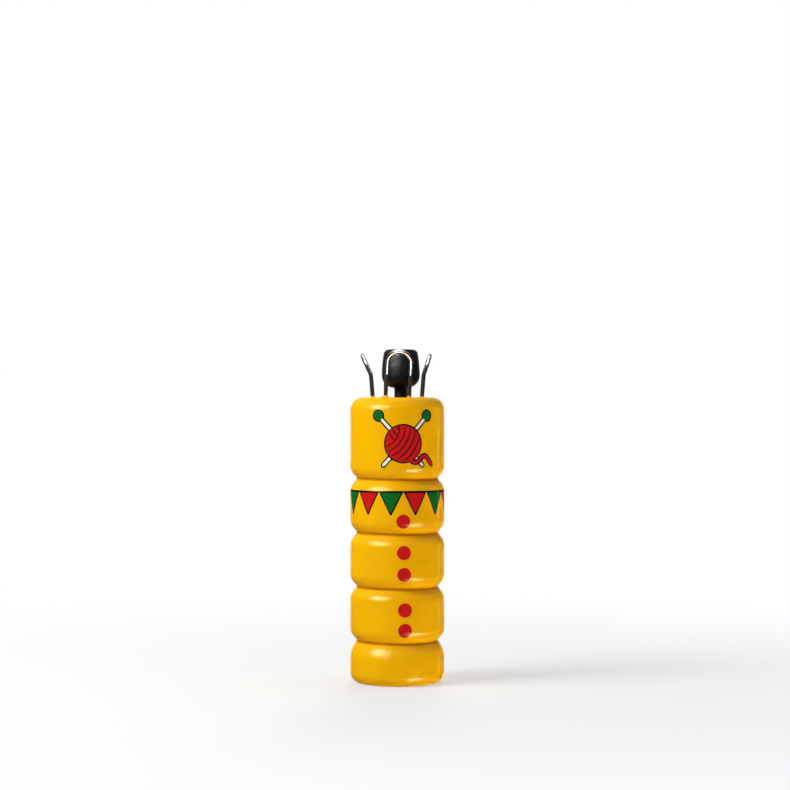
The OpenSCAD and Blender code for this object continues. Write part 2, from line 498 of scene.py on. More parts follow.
@dataclass(frozen=True)
class BareWood(Finish):
    """Bare drilled beech, with lacquer that ran a little way over the edges of the bore."""

    light: Colour = (0.60, 0.40, 0.22)
    dark: Colour = (0.40, 0.235, 0.11)
    paint: Colour = (0.80, 0.40, 0.004)
    body_top: float = 0.0903
    bevel: float = 0.0008
    run_scale: float = 700
    paint_run: float = 0.0022
    paint_edge: float = 0.0002
    grain_scale: float = 1700
    grain: float = 0.00004
    ring_scale: float = 2400
    ring: float = 0.00006

    def dress(self, bench: Bench) -> None:
        """Lays out the nodes.

        Noise drawn out twenty times along the bore gives the grain, and rings from the drill a fine relief. A
        ragged step in height, moved by noise, ends the lacquer at both mouths.

        Args:
            bench: The material's bench.
        """
        grain = bench.noise(bench.place(UPRIGHT), self.grain_scale, 4, 0.65)
        wood = bench.blend(bench.span(grain, *MIDDLE), self.dark, self.light)
        ragged = bench.math("MULTIPLY", bench.noise(bench.place(), self.run_scale), self.paint_run)
        top, low = (bench.math(way, bench.height(), ragged) for way in ("ADD", "SUBTRACT"))
        edge = self.body_top - self.bevel
        upper = bench.span(top, edge - self.paint_edge, edge + self.paint_edge)
        lower = bench.span(low, self.bevel - self.paint_edge, self.bevel + self.paint_edge, 1, 0)
        painted = bench.math("MAXIMUM", upper, lower)
        rings = bench.noise(bench.place((0.15, 0.15, 1)), self.ring_scale)
        bench.set(
            Base_Color=bench.blend(painted, wood, self.paint),
            Roughness=bench.span(painted, 0, 1, 0.75, 0.38),
            Normal=bench.bump(rings, self.ring, bench.bump(grain, self.grain)),
        )


@dataclass(frozen=True)
class PrintInk(Finish):
    """Transfer ink under the lacquer's gloss and peel, with a slight mottle in its cover."""

    colour: Colour
    mottle: float = 0.10
    mottle_scale: float = 1900
    roughness: float = 0.30

    def dress(self, bench: Bench) -> None:
        """Lays out the nodes: fine noise makes the cover a little lighter and darker.

        Args:
            bench: The material's bench.
        """
        cover = bench.span(bench.noise(bench.place(), self.mottle_scale, 3, 0.6), *MIDDLE)
        relief = bench.bump(bench.noise(bench.place(), GlossLacquer.peel_scale), GlossLacquer.peel)
        bench.set(
            Base_Color=bench.blend(cover, *(shade(self.colour, 1 + s * self.mottle) for s in (-1, 1))),
            Roughness=bench.span(cover, 0, 1, self.roughness + 0.05, self.roughness - 0.03),
            Specular_IOR_Level=0.0,
            Coat_Weight=GlossLacquer.coat,
            Coat_Roughness=GlossLacquer.gloss,
            Normal=relief,
            Coat_Normal=relief,
        )


@dataclass(frozen=True)
class DrawnMetal(Finish):
    """Bright drawn or ground steel, with fine lines that run along it and a few dull patches."""

    bright: Colour = (0.62, 0.59, 0.54)
    dull: Colour = (0.32, 0.28, 0.24)
    roughness: Range = (0.15, 0.30)
    line: float = 0.000006
    patch_scale: float = 420

    def dress(self, bench: Bench) -> None:
        """Lays out the nodes.

        The flow value holds the cosine and sine of the angle round the wire and the length along it, so noise
        on it makes lines without a seam. The same lines move the colour, the roughness and the relief.

        Args:
            bench: The material's bench.
        """
        lines = bench.noise(bench.value_of("flow").outputs["Vector"], 7, 4, 0.7)
        patches = bench.span(bench.noise(bench.place(), self.patch_scale, 3, 0.6), 0.45, 0.72, 0, 0.6)
        worn = bench.math("MAXIMUM", patches, bench.span(lines, 0.55, 0.8, 0, 0.7))
        bench.set(
            Base_Color=bench.blend(worn, self.bright, self.dull),
            Metallic=1.0,
            Roughness=bench.span(worn, 0, 0.8, *self.roughness),
            Normal=bench.bump(lines, self.line),
        )


@dataclass(frozen=True)
class MouldedPlastic(Finish):
    """Black moulded plastic with the fine spark texture of its mould."""

    colour: Colour = (0.005, 0.0065, 0.0085)
    scuffed: Colour = (0.012, 0.0140, 0.0165)
    scuff_scale: float = 330
    roughness: float = 0.31
    shine: float = 0.14
    spark_scale: float = 3600
    spark: float = 0.00007

    def dress(self, bench: Bench) -> None:
        """Lays out the nodes: a quarter-millimetre pitted relief, and paler, rougher scuffs in patches.

        Args:
            bench: The material's bench.
        """
        pits = bench.noise(bench.place(), self.spark_scale, 3, 0.6)
        scuff = bench.span(bench.noise(bench.place(), self.scuff_scale, 4, 0.65), 0.50, 0.72)
        bench.set(
            Base_Color=bench.blend(scuff, self.colour, self.scuffed),
            Roughness=bench.span(scuff, 0, 1, self.roughness, self.roughness + 0.14),
            Specular_IOR_Level=self.shine,
            Normal=bench.bump(pits, self.spark),
        )


# ---------------------------------------------------------------- the turned body


@dataclass
class TurnedBody:
    """The turned wooden body: a head, three beads and a foot on one bored bar, under lacquer."""

    radius: float = 15.0
    foot_height: float = 13.3
    band_height: float = 17.1
    band_count: int = 3
    head_height: float = 25.7
    top_edge_radius: float = 4.0
    shoulder_radius: float = 4.2
    foot_shoulder_radius: float = 8.0
    foot_rim_radius: float = 3.2
    groove_depth: float = 2.1
    groove_flat: float = 0.2
    flank_angle: float = 41.0
    steepest: float = 1.4
    bore_radius: float = 5.5
    mouth_bevel: float = 0.8
    mouth_soft: float = 0.22
    lacquer_fill: float = 0.012
    slow_wave: float = 0.012
    fine_wave: float = 0.004
    wave_inset: float = 0.077
    wave_fade: float = 3.0
    print_turn: float = 7.26
    columns: int = 200
    wall_rings: int = 290
    groove_distance: tuple[float, ...] = (0, 0.6, 4.5, 7.0)
    ring_spacing: tuple[float, ...] = (0.07, 0.15, 0.24, 0.8)

    @property
    def height(self) -> float:
        """The height of the head's flat top."""
        return self.foot_height + self.band_count * self.band_height + self.head_height

    @property
    def grooves(self) -> np.ndarray:
        """The heights of the grooves' middles."""
        return self.foot_height + self.band_height * np.arange(self.band_count + 1)

    def edge_inset(self, beyond: np.ndarray, radius: np.ndarray, flank: np.ndarray) -> np.ndarray:
        """Works out how far a bead's edge lies inside its wall.

        The edge is an arc that leaves the wall smoothly. Where the arc has turned by the flank's angle, a
        straight flank runs on from it.

        Args:
            beyond: Distances along the axis past the wall's end.
            radius: The arc's radius.
            flank: The flank's angle to the axis in radians.

        Returns:
            The insets.
        """
        over = np.clip(beyond, 0, radius * np.sin(flank))
        past = np.clip(beyond - over, 0, None)
        return radius - np.sqrt(radius**2 - over**2) + past * np.tan(np.minimum(flank, self.steepest))

    def wall_radius(self, height: np.ndarray) -> np.ndarray:
        """Works out the outer wall.

        Each bead is a bar of the full radius whose ends fall away by the edge's inset, and the core between
        them is a plain bar. The wall is their smooth maximum, k log(sum exp(r / k)), so lacquer rounds the
        bottom of each groove.

        Args:
            height: Heights above the foot.

        Returns:
            The wall's radius at each height.
        """
        z = np.ravel(height)[None, :]
        flank = math.radians(self.flank_angle)
        ends = np.concatenate([[0], np.repeat(self.grooves, 2), [self.height]]).reshape(-1, 2)
        radius, angle = np.full_like(ends, self.shoulder_radius), np.full_like(ends, flank)
        radius[0], radius[-1, 1] = (self.foot_rim_radius, self.foot_shoulder_radius), self.top_edge_radius
        angle[0, 0] = angle[-1, 1] = QUARTER
        arc, rest = radius * math.sin(flank), self.groove_depth - radius * (1 - math.cos(flank))
        run = np.where(angle < QUARTER, arc + rest / math.tan(flank) + self.groove_flat / 2, radius)
        low = self.edge_inset(ends[:, :1] + run[:, :1] - z, radius[:, :1], angle[:, :1])
        high = self.edge_inset(z - ends[:, 1:] + run[:, 1:], radius[:, 1:], angle[:, 1:])
        inside = (z > self.foot_rim_radius) & (z < self.height - self.top_edge_radius)
        core = np.where(inside, self.radius - self.groove_depth, 0)
        bars = np.concatenate([self.radius - low - high, core])
        wall = self.lacquer_fill * np.logaddexp.reduce(bars / self.lacquer_fill)
        return np.minimum(wall, self.radius).reshape(np.shape(height))

    def ripple(self, angle: np.ndarray, height: np.ndarray) -> np.ndarray:
        """Works out the hand finish's slow unevenness, a sum of sines of angle and height.

        Args:
            angle: Angles in radians.
            height: Heights above the foot.

        Returns:
            The change of the radius.
        """
        slow = np.sin(3 * angle + 0.21 * height) + np.sin(5 * angle - 0.34 * height + 1.7)
        fine = np.sin(9 * angle + 0.83 * height + 0.6) + np.sin(7 * angle - 1.05 * height + 2.9)
        return self.slow_wave * slow + self.fine_wave * fine - self.wave_inset

    def skin(self, across: np.ndarray, height: np.ndarray, lift: np.ndarray) -> np.ndarray:
        """Lays a flat drawing on the wall.

        Across is the arc length from the print's own front line and height is the height. The point is the
        wall's, moved out by the lift along the wall's normal.

        Args:
            across: Arc lengths, positive to the right.
            height: Heights above the foot.
            lift: Heights above the lacquer.

        Returns:
            Points with x, y, z as the last axis.
        """
        step = 0.01
        angle = math.radians(self.print_turn) + across / self.radius
        slope = (self.wall_radius(height + step) - self.wall_radius(height - step)) / (2 * step)
        out = lift / np.sqrt(1 + slope**2)
        radius = self.wall_radius(height) + self.ripple(angle, height) + out
        return np.stack([radius * np.sin(angle), -radius * np.cos(angle), height - out * slope], -1)

    def contour(self) -> tuple[np.ndarray, int]:
        """Draws the closed half section: up the outside, in over the top, down the bore and out below.

        The wall's rings lie closest at the grooves: the density along it is one over the spacing wanted at a
        distance from the nearest groove.

        Returns:
            Points as r, z in order, and how many of them, from the first on, are on the outer wall.
        """
        quarter = np.linspace(0, QUARTER, 14)[:-1]
        rim, edge, bevel, height = self.foot_rim_radius, self.top_edge_radius, self.mouth_bevel, self.height
        foot = on_circle((self.radius - rim, rim), rim, quarter - QUARTER)
        top = on_circle((self.radius - edge, height - edge), edge, quarter)
        z = np.linspace(rim, height - edge, 4000)
        near = np.abs(z[:, None] - self.grooves).min(axis=1)
        count = np.cumsum(1 / np.interp(near, self.groove_distance, self.ring_spacing))
        z = np.interp(np.linspace(count[0], count[-1], self.wall_rings), count, z)
        wall = np.concatenate([foot, np.stack([self.wall_radius(z), z], -1), top[1:]])
        bore, mouth = self.bore_radius, self.bore_radius + bevel
        corners = [[self.radius - edge, height], [mouth, height], [bore, height - bevel]]
        corners += [[bore, bevel], [mouth, 0.0], [self.radius - rim - 0.2, 0.0]]
        inside = resampled(softened_corners(np.array(corners), [self.mouth_soft] * 4), 1.2)
        return np.concatenate([wall, inside]), len(wall)

    def build(self, lacquer: Material, wood: Material) -> Piece:
        """Turns the contour about the axis, with the ripple on the outer wall only.

        Args:
            lacquer: The finish outside.
            wood: The finish in the bore.

        Returns:
            The body.
        """
        line, on_wall = self.contour()
        r, z = line.T
        outside, in_bore = np.arange(len(line)) < on_wall, r < self.bore_radius + 0.02
        fade = np.clip(np.minimum(z, self.height - z) / self.wave_fade, 0, 1) * outside
        angle = full_turn(self.columns)
        radius = line[:, :1] + fade[:, None] * self.ripple(angle, line[:, 1:])
        ends = (z < self.foot_rim_radius) | (z > self.height - self.top_edge_radius)
        depth = np.where(outside & ~ends, np.clip((self.radius - r) / self.groove_depth, 0, 1), 0)
        groove = np.repeat(depth[:, None], self.columns, axis=1)
        surface = closed_rings(revolved(radius, z, angle), True, {"groove": groove})
        bare = np.repeat(in_bore & np.roll(in_bore, -1), self.columns)
        return add_piece("body", surface, [lacquer, wood], Rides.NANCY, "turned_body", bare)


# ---------------------------------------------------------------- the hooks


@dataclass
class WireHook:
    """A hook bent from one length of wire, both legs driven into the head's top."""

    side: str
    turn: int
    tip: float
    lean: float
    tilt: float = 0.0
    wire: float = 1.3
    span: float = 7.4
    ring_radius: float = 7.8
    bend_height: float = 7.1
    bend_radius: float = 2.5
    sink: float = 12.0
    point: float = 1.2
    point_wire: float = 0.5
    splay: float = 4.5
    head_top: float = 90.3
    around: int = 24
    steps: tuple[int, ...] = (4, 20, 12, 8, 24)
    line_rate: float = 0.12
    fillet_reach: Range = (0.5, 0.8)
    fillet_wave: float = 0.22
    fillet_rise: Range = (0.3, 0.5)
    fillet_sink: float = 0.3
    fillet_grip: float = 0.12

    def to_body(self, local: np.ndarray) -> np.ndarray:
        """Moves points from the hook's own frame to the body's.

        The hook is tilted, splayed outwards, set on its ring at the head's top and turned round the axis.

        Args:
            local: Points with x along the span, -y outwards and z up from the head's top.

        Returns:
            The points in the body's frame.
        """
        a, b, c = (math.radians(v) for v in (self.splay, self.tilt, -90 * self.turn))
        about_x = np.array([[1, 0, 0], [0, math.cos(a), -math.sin(a)], [0, math.sin(a), math.cos(a)]])
        about_y = np.array([[math.cos(b), 0, math.sin(b)], [0, 1, 0], [-math.sin(b), 0, math.cos(b)]])
        about_z = np.array([[math.cos(c), -math.sin(c), 0], [math.sin(c), math.cos(c), 0], [0, 0, 1]])
        stood = local @ (about_y @ about_x).T + np.array([0, -self.ring_radius, 0])
        return stood @ about_z.T + np.array([0, 0, self.head_top])

    def surface(self) -> Surface:
        """Carries a circle along the wire.

        From either end the path is the straight leg, the bend outwards by its radius, the upper leg and a
        quarter of the arch. At each step the circle lies across the path, on the hook plane's normal and the
        path's own normal. The wire tapers to a point at both ends.

        Returns:
            The wire's surface, with the flow value along it.
        """
        lean = math.radians(self.lean - self.splay)
        run = self.bend_radius * math.tan(lean / 2)
        arch = self.span / 2
        lengths = [self.point, self.sink - self.point + self.bend_height - run, self.bend_radius * lean]
        lengths += [self.tip - self.wire / 2 - arch - run, arch * QUARTER]
        stops = np.concatenate([[0], np.cumsum(lengths)])
        runs = zip(stops, stops[1:], self.steps)
        half = np.concatenate([np.linspace(a, b, n, endpoint=False) for a, b, n in runs])
        along = np.concatenate([half, [stops[-1]], 2 * stops[-1] - half[::-1]])
        q = np.minimum(along, 2 * stops[-1] - along)
        way = np.where(along <= stops[-1], 1, -1)
        turned = np.clip((q - stops[2]) / self.bend_radius, 0, lean)
        curl = np.clip((q - stops[4]) / arch, 0, QUARTER)
        upper = np.clip(q - stops[3], 0, lengths[3]) + arch * np.sin(curl)
        y = -self.bend_radius * (1 - np.cos(turned)) - upper * np.sin(turned)
        z = self.bend_radius * np.sin(turned) + upper * np.cos(turned) + np.minimum(q, stops[2]) - self.sink
        path = np.stack([-way * arch * np.cos(curl), y, z], -1)
        rise = way * np.cos(curl)
        tangent = np.stack([np.sin(curl), -np.sin(turned) * rise, np.cos(turned) * rise], -1)
        outward = np.stack([np.zeros_like(q), -np.cos(turned), -np.sin(turned)], -1)
        beside = np.cross(tangent, outward)
        angle = full_turn(self.around)
        radius = np.interp(q, [0, self.point], [self.point_wire / 2, self.wire / 2])[:, None, None]
        ring = np.cos(angle)[:, None] * outward[:, None] + np.sin(angle)[:, None] * beside[:, None]
        rings = self.to_body(path[:, None] + radius * ring)
        return closed_rings(rings, False, flow_along(angle, along, self.line_rate))

    def fillets(self, rng: np.random.Generator) -> list[Surface]:
        """Makes the lacquer that crept up each leg: a hollow quarter circle turned about the leg.

        Its reach and height differ a little from leg to leg, and its reach also round the leg.

        Args:
            rng: The source of the differences.

        Returns:
            One closed ring for each leg.
        """
        angle = full_turn(40)
        t = np.linspace(0, QUARTER, 9)[:, None]
        made = []
        for leg in (-1, 1):
            reach = rng.uniform(*self.fillet_reach)
            reach = reach * (1 + self.fillet_wave * np.cos(angle - rng.uniform(0, 6.28)))
            hollow = self.wire / 2 + reach * (1 - np.sin(t))
            rise = rng.uniform(*self.fillet_rise) * (1 - np.cos(t))
            inner = np.full((1, len(angle)), self.wire / 2 - self.fillet_grip)
            r = np.concatenate([hollow[:1], hollow, inner, inner])
            z = np.concatenate([[[-self.fillet_sink]], rise, rise[-1:], [[-self.fillet_sink]]])
            ring = revolved(r, z, angle) + np.array([leg * self.span / 2, 0, 0])
            made.append(closed_rings(self.to_body(ring), True, {"groove": np.zeros(r.shape)}))
        return made

    def build(self, wire: Material) -> Piece:
        """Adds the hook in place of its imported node."""
        name = f"hook_{self.side}"
        return add_piece(f"{name}_wire", self.surface(), [wire], Rides.NANCY, name)


# ---------------------------------------------------------------- the pick


@dataclass
class Pick:
    """The loose pick: a moulded knob with a neck, on a steel needle that stands in the bore."""

    axis: Place = (1.1, 1.1)
    knob_low: float = 93.3
    knob_height: float = 12.2
    bowl: tuple[float, float, float] = (2.0, 4.0, 4.0)
    rim: tuple[float, float, float] = (3.8, 10.6, 1.6)
    crown: float = 40.0
    gate_radius: float = 1.1
    gate_depth: float = 0.16
    root_hollow: float = 0.5
    neck_radius: float = 2.0
    neck_length: float = 8.5
    neck_taper: float = 1.5
    neck_lip: float = 0.25
    seat_gap: float = 0.02
    seam_proud: float = 0.05
    seam_width: float = 0.12
    needle_radius: float = 1.25
    needle_seat: float = 13.0
    needle_low: float = 0.3
    point_length: float = 14.0
    tip_radius: float = 0.5
    line_rate: float = 0.05
    pole_radius: float = 0.02

    def knob_profile(self) -> np.ndarray:
        """Draws the knob's half section from the top's middle to the bottom of the needle's seat.

        A shallow gate dimple, the flat top, the rim's arc, the side, the bowl's arc down to the neck, a small
        hollow at the neck's root, the neck with its tapered end, and the needle's seat. The side is crowned:
        it is one wide arc that the rim's and the bowl's circles touch from inside, so its middle lies at the
        crown's radius less theirs from each of their middles.

        Returns:
            Points as r, z.
        """
        (br, bz, b), (tr, tz, t) = self.bowl, self.rim
        between = math.hypot(tr - br, tz - bz)
        near, far = self.crown - b, self.crown - t
        along = (near**2 - far**2 + between**2) / (2 * between)
        aside = math.sqrt(near**2 - along**2)
        over, up = (tr - br) / between, (tz - bz) / between
        cr, cz = br + along * over - aside * up, bz + along * up + aside * over
        upper, lower = math.atan2(tz - cz, tr - cr), math.atan2(bz - cz, br - cr)
        gate = np.linspace(self.pole_radius, self.gate_radius + 0.2, 12)
        sunk = self.gate_depth * np.clip(1 - (gate / self.gate_radius) ** 4, 0, 1)
        top = on_circle((tr, tz), t, np.linspace(QUARTER, upper, 14))
        side = on_circle((cr, cz), self.crown, np.linspace(upper, lower, 16)[1:])
        root = self.neck_radius + self.root_hollow
        bowl = on_circle((br, bz), b, np.linspace(lower, math.asin(min((root - br) / b, 1)) - QUARTER, 30))
        hollow = np.linspace(QUARTER, math.pi, 7)[1:]
        hollow = on_circle((root, bowl[-1, 1] - self.root_hollow), self.root_hollow, hollow)
        end, seat = -self.neck_length, self.needle_seat - self.neck_length
        neck = [[self.neck_radius, hollow[-1, 1]], [self.neck_radius, end + self.neck_taper]]
        neck += [[self.needle_radius + gap, end] for gap in (self.neck_lip, self.seat_gap)]
        neck += [[self.needle_radius + self.seat_gap, seat], [self.pole_radius, seat]]
        neck = softened_corners(np.array(neck), [0.3, 0.1, 0.01, 0.05], 4)
        outside = [np.stack([gate, tz + t - sunk], -1), top, side, resampled(bowl[1:], 0.4), hollow]
        return np.concatenate([*outside, resampled(neck[1:], 0.8)])

    def build_knob(self, plastic: Material) -> Piece:
        """Turns the knob's profile about the pick's axis.

        The two halves of the mould leave a seam on the left and right: the outer radius grows by a narrow
        bell curve of the distance from the seam's plane. The points lie closer together near the seam.

        Args:
            plastic: The knob's finish.

        Returns:
            The knob.
        """
        line = self.knob_profile()
        near = np.linspace(-0.09, 0.09, 15)
        angle = np.concatenate([full_turn(96), QUARTER + near, 3 * QUARTER + near])
        angle = np.unique(np.round(angle, 5))
        outside = (line[:, :1] > self.neck_radius - 0.1) & (line[:, 1:] < self.knob_height - 0.05)
        away = line[:, :1] * np.abs(np.cos(angle))
        radius = line[:, :1] + outside * self.seam_proud * np.exp(-((away / self.seam_width) ** 2))
        rings = revolved(radius, line[:, 1] + self.knob_low, angle) + np.array([*self.axis, 0])
        surface = closed_rings(rings)
        return add_piece("pick_knob_moulding", surface, [plastic], Rides.PICK, "pick_knob")

    def build_needle(self, steel: Material) -> Piece:
        """Turns the needle: a rounded tip, a long taper, the shank and its end in the knob's seat.

        Args:
            steel: The needle's finish.

        Returns:
            The needle.
        """
        top = self.knob_low - self.neck_length + self.needle_seat - 0.05
        middle = (0, self.needle_low + self.tip_radius)
        tip = on_circle(middle, self.tip_radius, np.linspace(0.05, QUARTER, 9) - QUARTER)
        taper_end = [self.needle_radius, self.needle_low + self.point_length]
        rest = np.array([tip[-1], taper_end, [self.needle_radius, top], [0.1, top]])
        rest = softened_corners(rest, [1.5, 0.1], 8)
        line = resampled(np.concatenate([tip, rest[1:]]), 2.5)
        angle = full_turn(40)
        rings = revolved(line[:, 0], line[:, 1], angle) + np.array([*self.axis, 0])
        surface = closed_rings(rings, False, flow_along(angle, line[:, 1], self.line_rate))
        return add_piece("pick_needle_steel", surface, [steel], Rides.PICK, "pick_needle")


# ---------------------------------------------------------------- the print


@dataclass
class Print:
    """The decoration: films of ink laid on the body's wall, as thin closed shells that follow it."""

    body: TurnedBody
    inks: dict[Ink, Material]
    film: float = 0.009
    outline: float = 0.45
    button_radius: float = 2.225
    buttons_at: tuple[Place, ...] = ((0.0, 51.64), (0.19, 41.9), (0.3, 35.1), (0.51, 24.05), (0.56, 17.7))
    pennant_count: int = 12
    pennant_width: float = 6.5
    pennant_height: float = 6.4
    bunting_height: float = 60.9
    bunting_width: float = 0.55
    bunting_drop: float = 0.35
    ball_at: Place = (0.0, 75.9)
    ball_radius: float = 5.7
    needle_ends: tuple[Place, Place] = ((-6.6, 68.9), (8.0, 84.6))
    needle_width: float = 0.9
    needle_knob: float = 1.5
    tail_at: Place = (2.0, 70.9)
    tail_length: float = 8.6
    tail_wave: float = 1.6
    tail_width: float = 0.85
    winding_width: float = 0.38
    windings_at: tuple[Place, Place] = ((-7.6, 5.2), (6.4, 9.6))
    windings: tuple[float, ...] = (6.4, 8.1, 9.8, 11.5, 13.2)
    cross_windings: tuple[float, ...] = (9.4, 11.0, 12.6)
    cross_within: float = 6.2

    def spot(self, centre: Place, reach: np.ndarray, layer: int = 0) -> Surface:
        """Makes a filled shape that is seen whole from its centre.

        The shape's edge lies at its reach in each direction, counted from the right and anticlockwise. Rings
        at fractions of the reach go out over the film's top, which falls to the edge as the root of 1 - s to
        the eighth, and come back as far below.

        Args:
            centre: The centre as across and height.
            reach: Distances to the edge at even steps of angle.
            layer: The number of films that it lies on.

        Returns:
            The film.
        """
        rings = max(3, int(reach.max() / 0.3))
        out = np.concatenate([np.linspace(0.06, 0.9, rings), [0.96, 0.99, 1.0]])
        s = np.concatenate([out, out[-2::-1]])[:, None]
        rise = self.film * np.sqrt(np.clip(1 - s**8, 0, 1))
        rise[len(out) :] *= -1
        angle = full_turn(len(reach))
        across, height = (c + s * reach * f(angle) for c, f in zip(centre, (np.cos, np.sin)))
        return closed_rings(self.body.skin(across, height, rise + self.film * layer))

    def disc(self, centre: Place, radius: float, layer: int = 0) -> Surface:
        """Makes a round spot."""
        return self.spot(centre, np.full(max(16, int(radius * 24)), radius), layer)

    def stroke(self, path: np.ndarray, width: float, layer: int = 0, taper: float = 0.0) -> Surface:
        """Draws a line with round ends.

        A flat oval is carried along the path. Its half width falls to nothing at the ends as a circle does,
        and with a taper it also swells in the middle as the root of a sine.

        Args:
            path: Points as across and height.
            width: The line's width.
            layer: The number of films that it lies on.
            taper: The share of the width that the ends lose.

        Returns:
            The film.
        """
        path = resampled(path, 0.3)
        at = lengths_along(path)
        half, whole = width / 2, at[-1]
        ends = np.sort(np.concatenate([half * (1 - np.cos(np.linspace(0.15, QUARTER, 6))), at]))
        at = np.unique(np.round(np.concatenate([ends, whole - ends[:6], [whole - half * 0.01]]), 4))
        at = at[(at > half * 0.005) & (at < whole - half * 0.005)]
        path = taken_at(path, at)
        to_end = np.clip(np.minimum(at, whole - at) / half, 0, 1)
        half_width = half * np.sqrt(1 - (1 - to_end) ** 2)
        half_width = half_width * (1 - taper + taper * np.sqrt(np.sin(math.pi * at / whole)))
        tangent = np.gradient(path, axis=0)
        tangent /= np.linalg.norm(tangent, axis=1, keepdims=True)
        turn = full_turn(14)
        rise = self.film * (layer + np.sign(np.sin(turn)) * np.sqrt(np.abs(np.sin(turn))))
        aside = half_width[:, None] * np.cos(turn)
        across = path[:, :1] - tangent[:, 1:] * aside
        height = path[:, 1:] + tangent[:, :1] * aside
        return closed_rings(self.body.skin(across, height, rise))

    def band(self, height: float, width: float) -> Surface:
        """Draws a line right round the body: a flat oval carried along the circle."""
        across, turn = self.body.radius * full_turn(240)[:, None], full_turn(12)
        lines = np.broadcast_arrays(across, height + width / 2 * np.cos(turn), self.film * np.sin(turn))
        return closed_rings(self.body.skin(*lines), True)

    @property
    def pennant_inner(self) -> float:
        """The radius of the circle inside a pennant: twice its area over the length of its sides."""
        width, tall = self.pennant_width, self.pennant_height
        return width * tall / (width + 2 * math.hypot(width / 2, tall))

    def pennant_reach(self, grow: float) -> np.ndarray:
        """Works out a rounded pennant with its point down, from the centre of its inner circle.

        Its three sides lie at the inner radius plus the growth. The reach is the soft minimum of the
        distances to them, with 1 / reach the 12-norm of each side's cosine over its distance.

        Args:
            grow: The distance by which every side is moved out.

        Returns:
            The reach at even steps of angle.
        """
        facing = math.atan2(-self.pennant_width / 2, self.pennant_height)
        normals = np.array([QUARTER, facing, math.pi - facing])[:, None]
        pull = np.clip(np.cos(full_turn(72) - normals), 0, None) / (self.pennant_inner + grow)
        return 1 / (pull**12).sum(axis=0) ** (1 / 12)

    def laid(self, name: str, shapes: Sequence[Surface], ink: Ink) -> Piece:
        """Adds the films of one ink as a piece."""
        return add_piece(name, joined(shapes), [self.inks[ink]], Rides.NANCY)

    def buttons(self) -> Piece:
        """Prints the column of round buttons."""
        return self.laid("buttons", [self.disc(p, self.button_radius) for p in self.buttons_at], Ink.RED)

    def bunting(self) -> list[Piece]:
        """Prints a ring of pennants in two colours round the first bead, hung from a line.

        Returns:
            The films.
        """
        pitch = 2 * math.pi * self.body.radius / self.pennant_count
        height = self.bunting_height - self.bunting_drop - self.pennant_inner
        places = [((k + 0.5) * pitch, height) for k in range(self.pennant_count)]
        fill, edge = (self.pennant_reach(g) for g in (0.0, self.outline))
        outlines = [self.spot(p, edge) for p in places]
        outlines.append(self.band(self.bunting_height, self.bunting_width))
        red, green = ([self.spot(p, fill, 1) for p in places[k::2]] for k in (0, 1))
        return [
            self.laid("bunting_outlines", outlines, Ink.BLACK),
            self.laid("bunting_red", red, Ink.RED),
            self.laid("bunting_green", green, Ink.GREEN),
        ]

    def winding(self, centre: Place, radius: float, within: float = math.inf) -> np.ndarray:
        """Finds the stretch of a circle that lies inside the ball and inside the first windings' circle.

        Args:
            centre: The circle's centre from the ball's middle.
            radius: The circle's radius.
            within: The radius of the first windings' circle.

        Returns:
            The stretch's points from the ball's middle.
        """
        facing = math.atan2(-centre[1], -centre[0])
        points = on_circle(centre, radius, facing + np.linspace(-QUARTER, QUARTER, 400))
        inside = np.linalg.norm(points, axis=1) < self.ball_radius - 0.1
        return points[inside & (np.linalg.norm(points - self.windings_at[0], axis=1) < within)]

    def wool(self) -> list[Piece]:
        """Prints a ball of wool with two crossed needles on the head.

        The needles are white strokes on wider black ones with green knobs. The ball is a red disc on a black
        one, its windings are arcs of two sets of circles, and its tail runs off along a growing sine.

        Returns:
            The films.
        """
        grow, lines, white, green = self.outline, [], [], []
        for side in (-1, 1):
            needle = np.array(self.needle_ends) * (side, 1)
            along = (needle[1] - needle[0]) / np.linalg.norm(needle[1] - needle[0])
            lines.append(self.stroke(needle + np.array([-along, along]) * grow, self.needle_width + 2 * grow))
            lines.append(self.disc(needle[1], self.needle_knob + grow, 1))
            white.append(self.stroke(needle, self.needle_width, 1))
            green.append(self.disc(needle[1], self.needle_knob, 2))
        t = np.linspace(0, 1, 60)
        wave = self.tail_wave * np.sin(2.6 * math.pi * t) * (0.4 + 0.6 * t)
        tail = np.stack([self.tail_at[0] + self.tail_length * t, self.tail_at[1] - wave], -1)
        lines.append(self.stroke(tail, self.tail_width + 2 * grow, 2))
        lines.append(self.disc(self.ball_at, self.ball_radius + grow, 2))
        red = [self.stroke(tail, self.tail_width, 3), self.disc(self.ball_at, self.ball_radius, 3)]
        first, second = self.windings_at
        wound = [self.winding(first, r) for r in self.windings]
        wound += [self.winding(second, r, self.cross_within) for r in self.cross_windings]
        lines += [self.stroke(p + self.ball_at, self.winding_width, 4, 0.5) for p in wound if len(p) > 8]
        return [
            self.laid("wool_lines", lines, Ink.BLACK),
            self.laid("wool_needles", white, Ink.WHITE),
            self.laid("wool_needle_knobs", green, Ink.GREEN),
            self.laid("wool_ball", red, Ink.RED),
        ]


# ---------------------------------------------------------------- the studio


